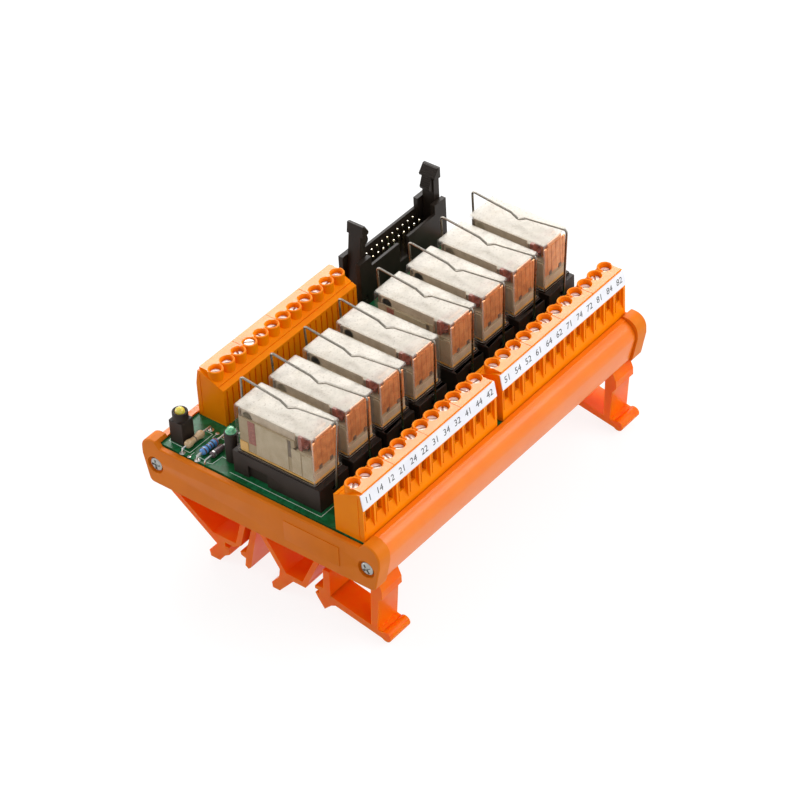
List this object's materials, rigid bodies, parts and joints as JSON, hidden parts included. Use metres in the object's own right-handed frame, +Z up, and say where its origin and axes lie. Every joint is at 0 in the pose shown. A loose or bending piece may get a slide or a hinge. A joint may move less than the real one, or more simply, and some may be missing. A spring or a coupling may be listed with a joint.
{
  "type": "relay module board",
  "caption": "Rail-mounted circuit board carrier with plug-in relays under wire clips, screw terminal rows and a latched box header.",
  "frame": {"origin": "middle of the footprint, on the plane of the rail feet's lowest points", "axes": "+X along the rail and the terminal rows, +Z up away from the rail, output terminals at -Y"},
  "size_m": [0.131, 0.088, 0.0682],
  "materials": {
    "orange_plastic": "satin",
    "green_laminate": "satin",
    "bright_steel": "satin",
    "white_card": "matte",
    "black_plastic": "satin",
    "clear_plastic": "gloss",
    "beige_plastic": "satin",
    "copper": "satin",
    "gold_plate": "gloss",
    "yellow_lens": "gloss",
    "green_lens": "gloss",
    "beige_coating": "satin",
    "blue_coating": "satin",
    "black_glaze": "satin"
  },
  "bodies": {
    "module": {"profile_tray": "orange_plastic", "circuit_board": "green_laminate", "end_plate_near": "orange_plastic", "end_plate_far": "orange_plastic", "end_plate_screws": "bright_steel", "rail_foot_near": "orange_plastic", "rail_foot_far": "orange_plastic", "output_block_a": "orange_plastic", "output_block_b": "orange_plastic", "input_block": "orange_plastic", "terminal_screws": "bright_steel", "terminal_clamps": "bright_steel", "label_strip_a": "white_card", "label_strip_b": "white_card", "relay_socket_1": "black_plastic", "relay_cover_1": "clear_plastic", "relay_frame_1": "beige_plastic", "relay_socket_2": "black_plastic", "relay_cover_2": "clear_plastic", "relay_frame_2": "beige_plastic", "relay_socket_3": "black_plastic", "relay_cover_3": "clear_plastic", "relay_frame_3": "beige_plastic", "relay_socket_4": "black_plastic", "relay_cover_4": "clear_plastic", "relay_frame_4": "beige_plastic", "relay_socket_5": "black_plastic", "relay_cover_5": "clear_plastic", "relay_frame_5": "beige_plastic", "relay_socket_6": "black_plastic", "relay_cover_6": "clear_plastic", "relay_frame_6": "beige_plastic", "relay_socket_7": "black_plastic", "relay_cover_7": "clear_plastic", "relay_frame_7": "beige_plastic", "relay_socket_8": "black_plastic", "relay_cover_8": "clear_plastic", "relay_frame_8": "beige_plastic", "relay_yokes": "bright_steel", "relay_contacts": "copper", "header_body": "black_plastic", "header_pins": "gold_plate", "power_lamp_block": "black_plastic", "power_lamp": "yellow_lens", "relay_lamp_spacers": "black_plastic", "relay_lamps": "green_lens", "beige_resistor": "beige_coating", "blue_resistor": "blue_coating", "diodes": "black_glaze"},
    "clip_1": {"relay_clip_1": "bright_steel"},
    "clip_2": {"relay_clip_2": "bright_steel"},
    "clip_3": {"relay_clip_3": "bright_steel"},
    "clip_4": {"relay_clip_4": "bright_steel"},
    "clip_5": {"relay_clip_5": "bright_steel"},
    "clip_6": {"relay_clip_6": "bright_steel"},
    "clip_7": {"relay_clip_7": "bright_steel"},
    "clip_8": {"relay_clip_8": "bright_steel"},
    "latch_left": {"header_latch_left": "black_plastic"},
    "latch_right": {"header_latch_right": "black_plastic"}
  },
  "joints": [
    {"name": "clip_1_swing", "type": "hinge", "parent": "module", "child": "clip_1", "pos_m": [-0.0537, -0.0035, 0.0424], "axis": [0, 1, 0], "range_deg": [-15, 15]},
    {"name": "clip_2_swing", "type": "hinge", "parent": "module", "child": "clip_2", "pos_m": [-0.03846, -0.0035, 0.0424], "axis": [0, 1, 0], "range_deg": [-10.5, 19.5]},
    {"name": "clip_3_swing", "type": "hinge", "parent": "module", "child": "clip_3", "pos_m": [-0.02322, -0.0035, 0.0424], "axis": [0, 1, 0], "range_deg": [-9.8, 20.2]},
    {"name": "clip_4_swing", "type": "hinge", "parent": "module", "child": "clip_4", "pos_m": [-0.00798, -0.0035, 0.0424], "axis": [0, 1, 0], "range_deg": [-11.3, 18.7]},
    {"name": "clip_5_swing", "type": "hinge", "parent": "module", "child": "clip_5", "pos_m": [0.00986, -0.0035, 0.0424], "axis": [0, 1, 0], "range_deg": [-11.7, 18.3]},
    {"name": "clip_6_swing", "type": "hinge", "parent": "module", "child": "clip_6", "pos_m": [0.0251, -0.0035, 0.0424], "axis": [0, 1, 0], "range_deg": [-11.4, 18.6]},
    {"name": "clip_7_swing", "type": "hinge", "parent": "module", "child": "clip_7", "pos_m": [0.04034, -0.0035, 0.0424], "axis": [0, 1, 0], "range_deg": [-12.2, 17.8]},
    {"name": "clip_8_swing", "type": "hinge", "parent": "module", "child": "clip_8", "pos_m": [0.05558, -0.0035, 0.0424], "axis": [0, 1, 0], "range_deg": [-12.9, 17.1]},
    {"name": "latch_left_swing", "type": "hinge", "parent": "module", "child": "latch_left", "pos_m": [0.02195, 0.0335, 0.0404], "axis": [0, -1, 0], "range_deg": [0, 25]},
    {"name": "latch_right_swing", "type": "hinge", "parent": "module", "child": "latch_right", "pos_m": [0.06045, 0.0335, 0.0404], "axis": [0, 1, 0], "range_deg": [0, 40]}
  ]
}
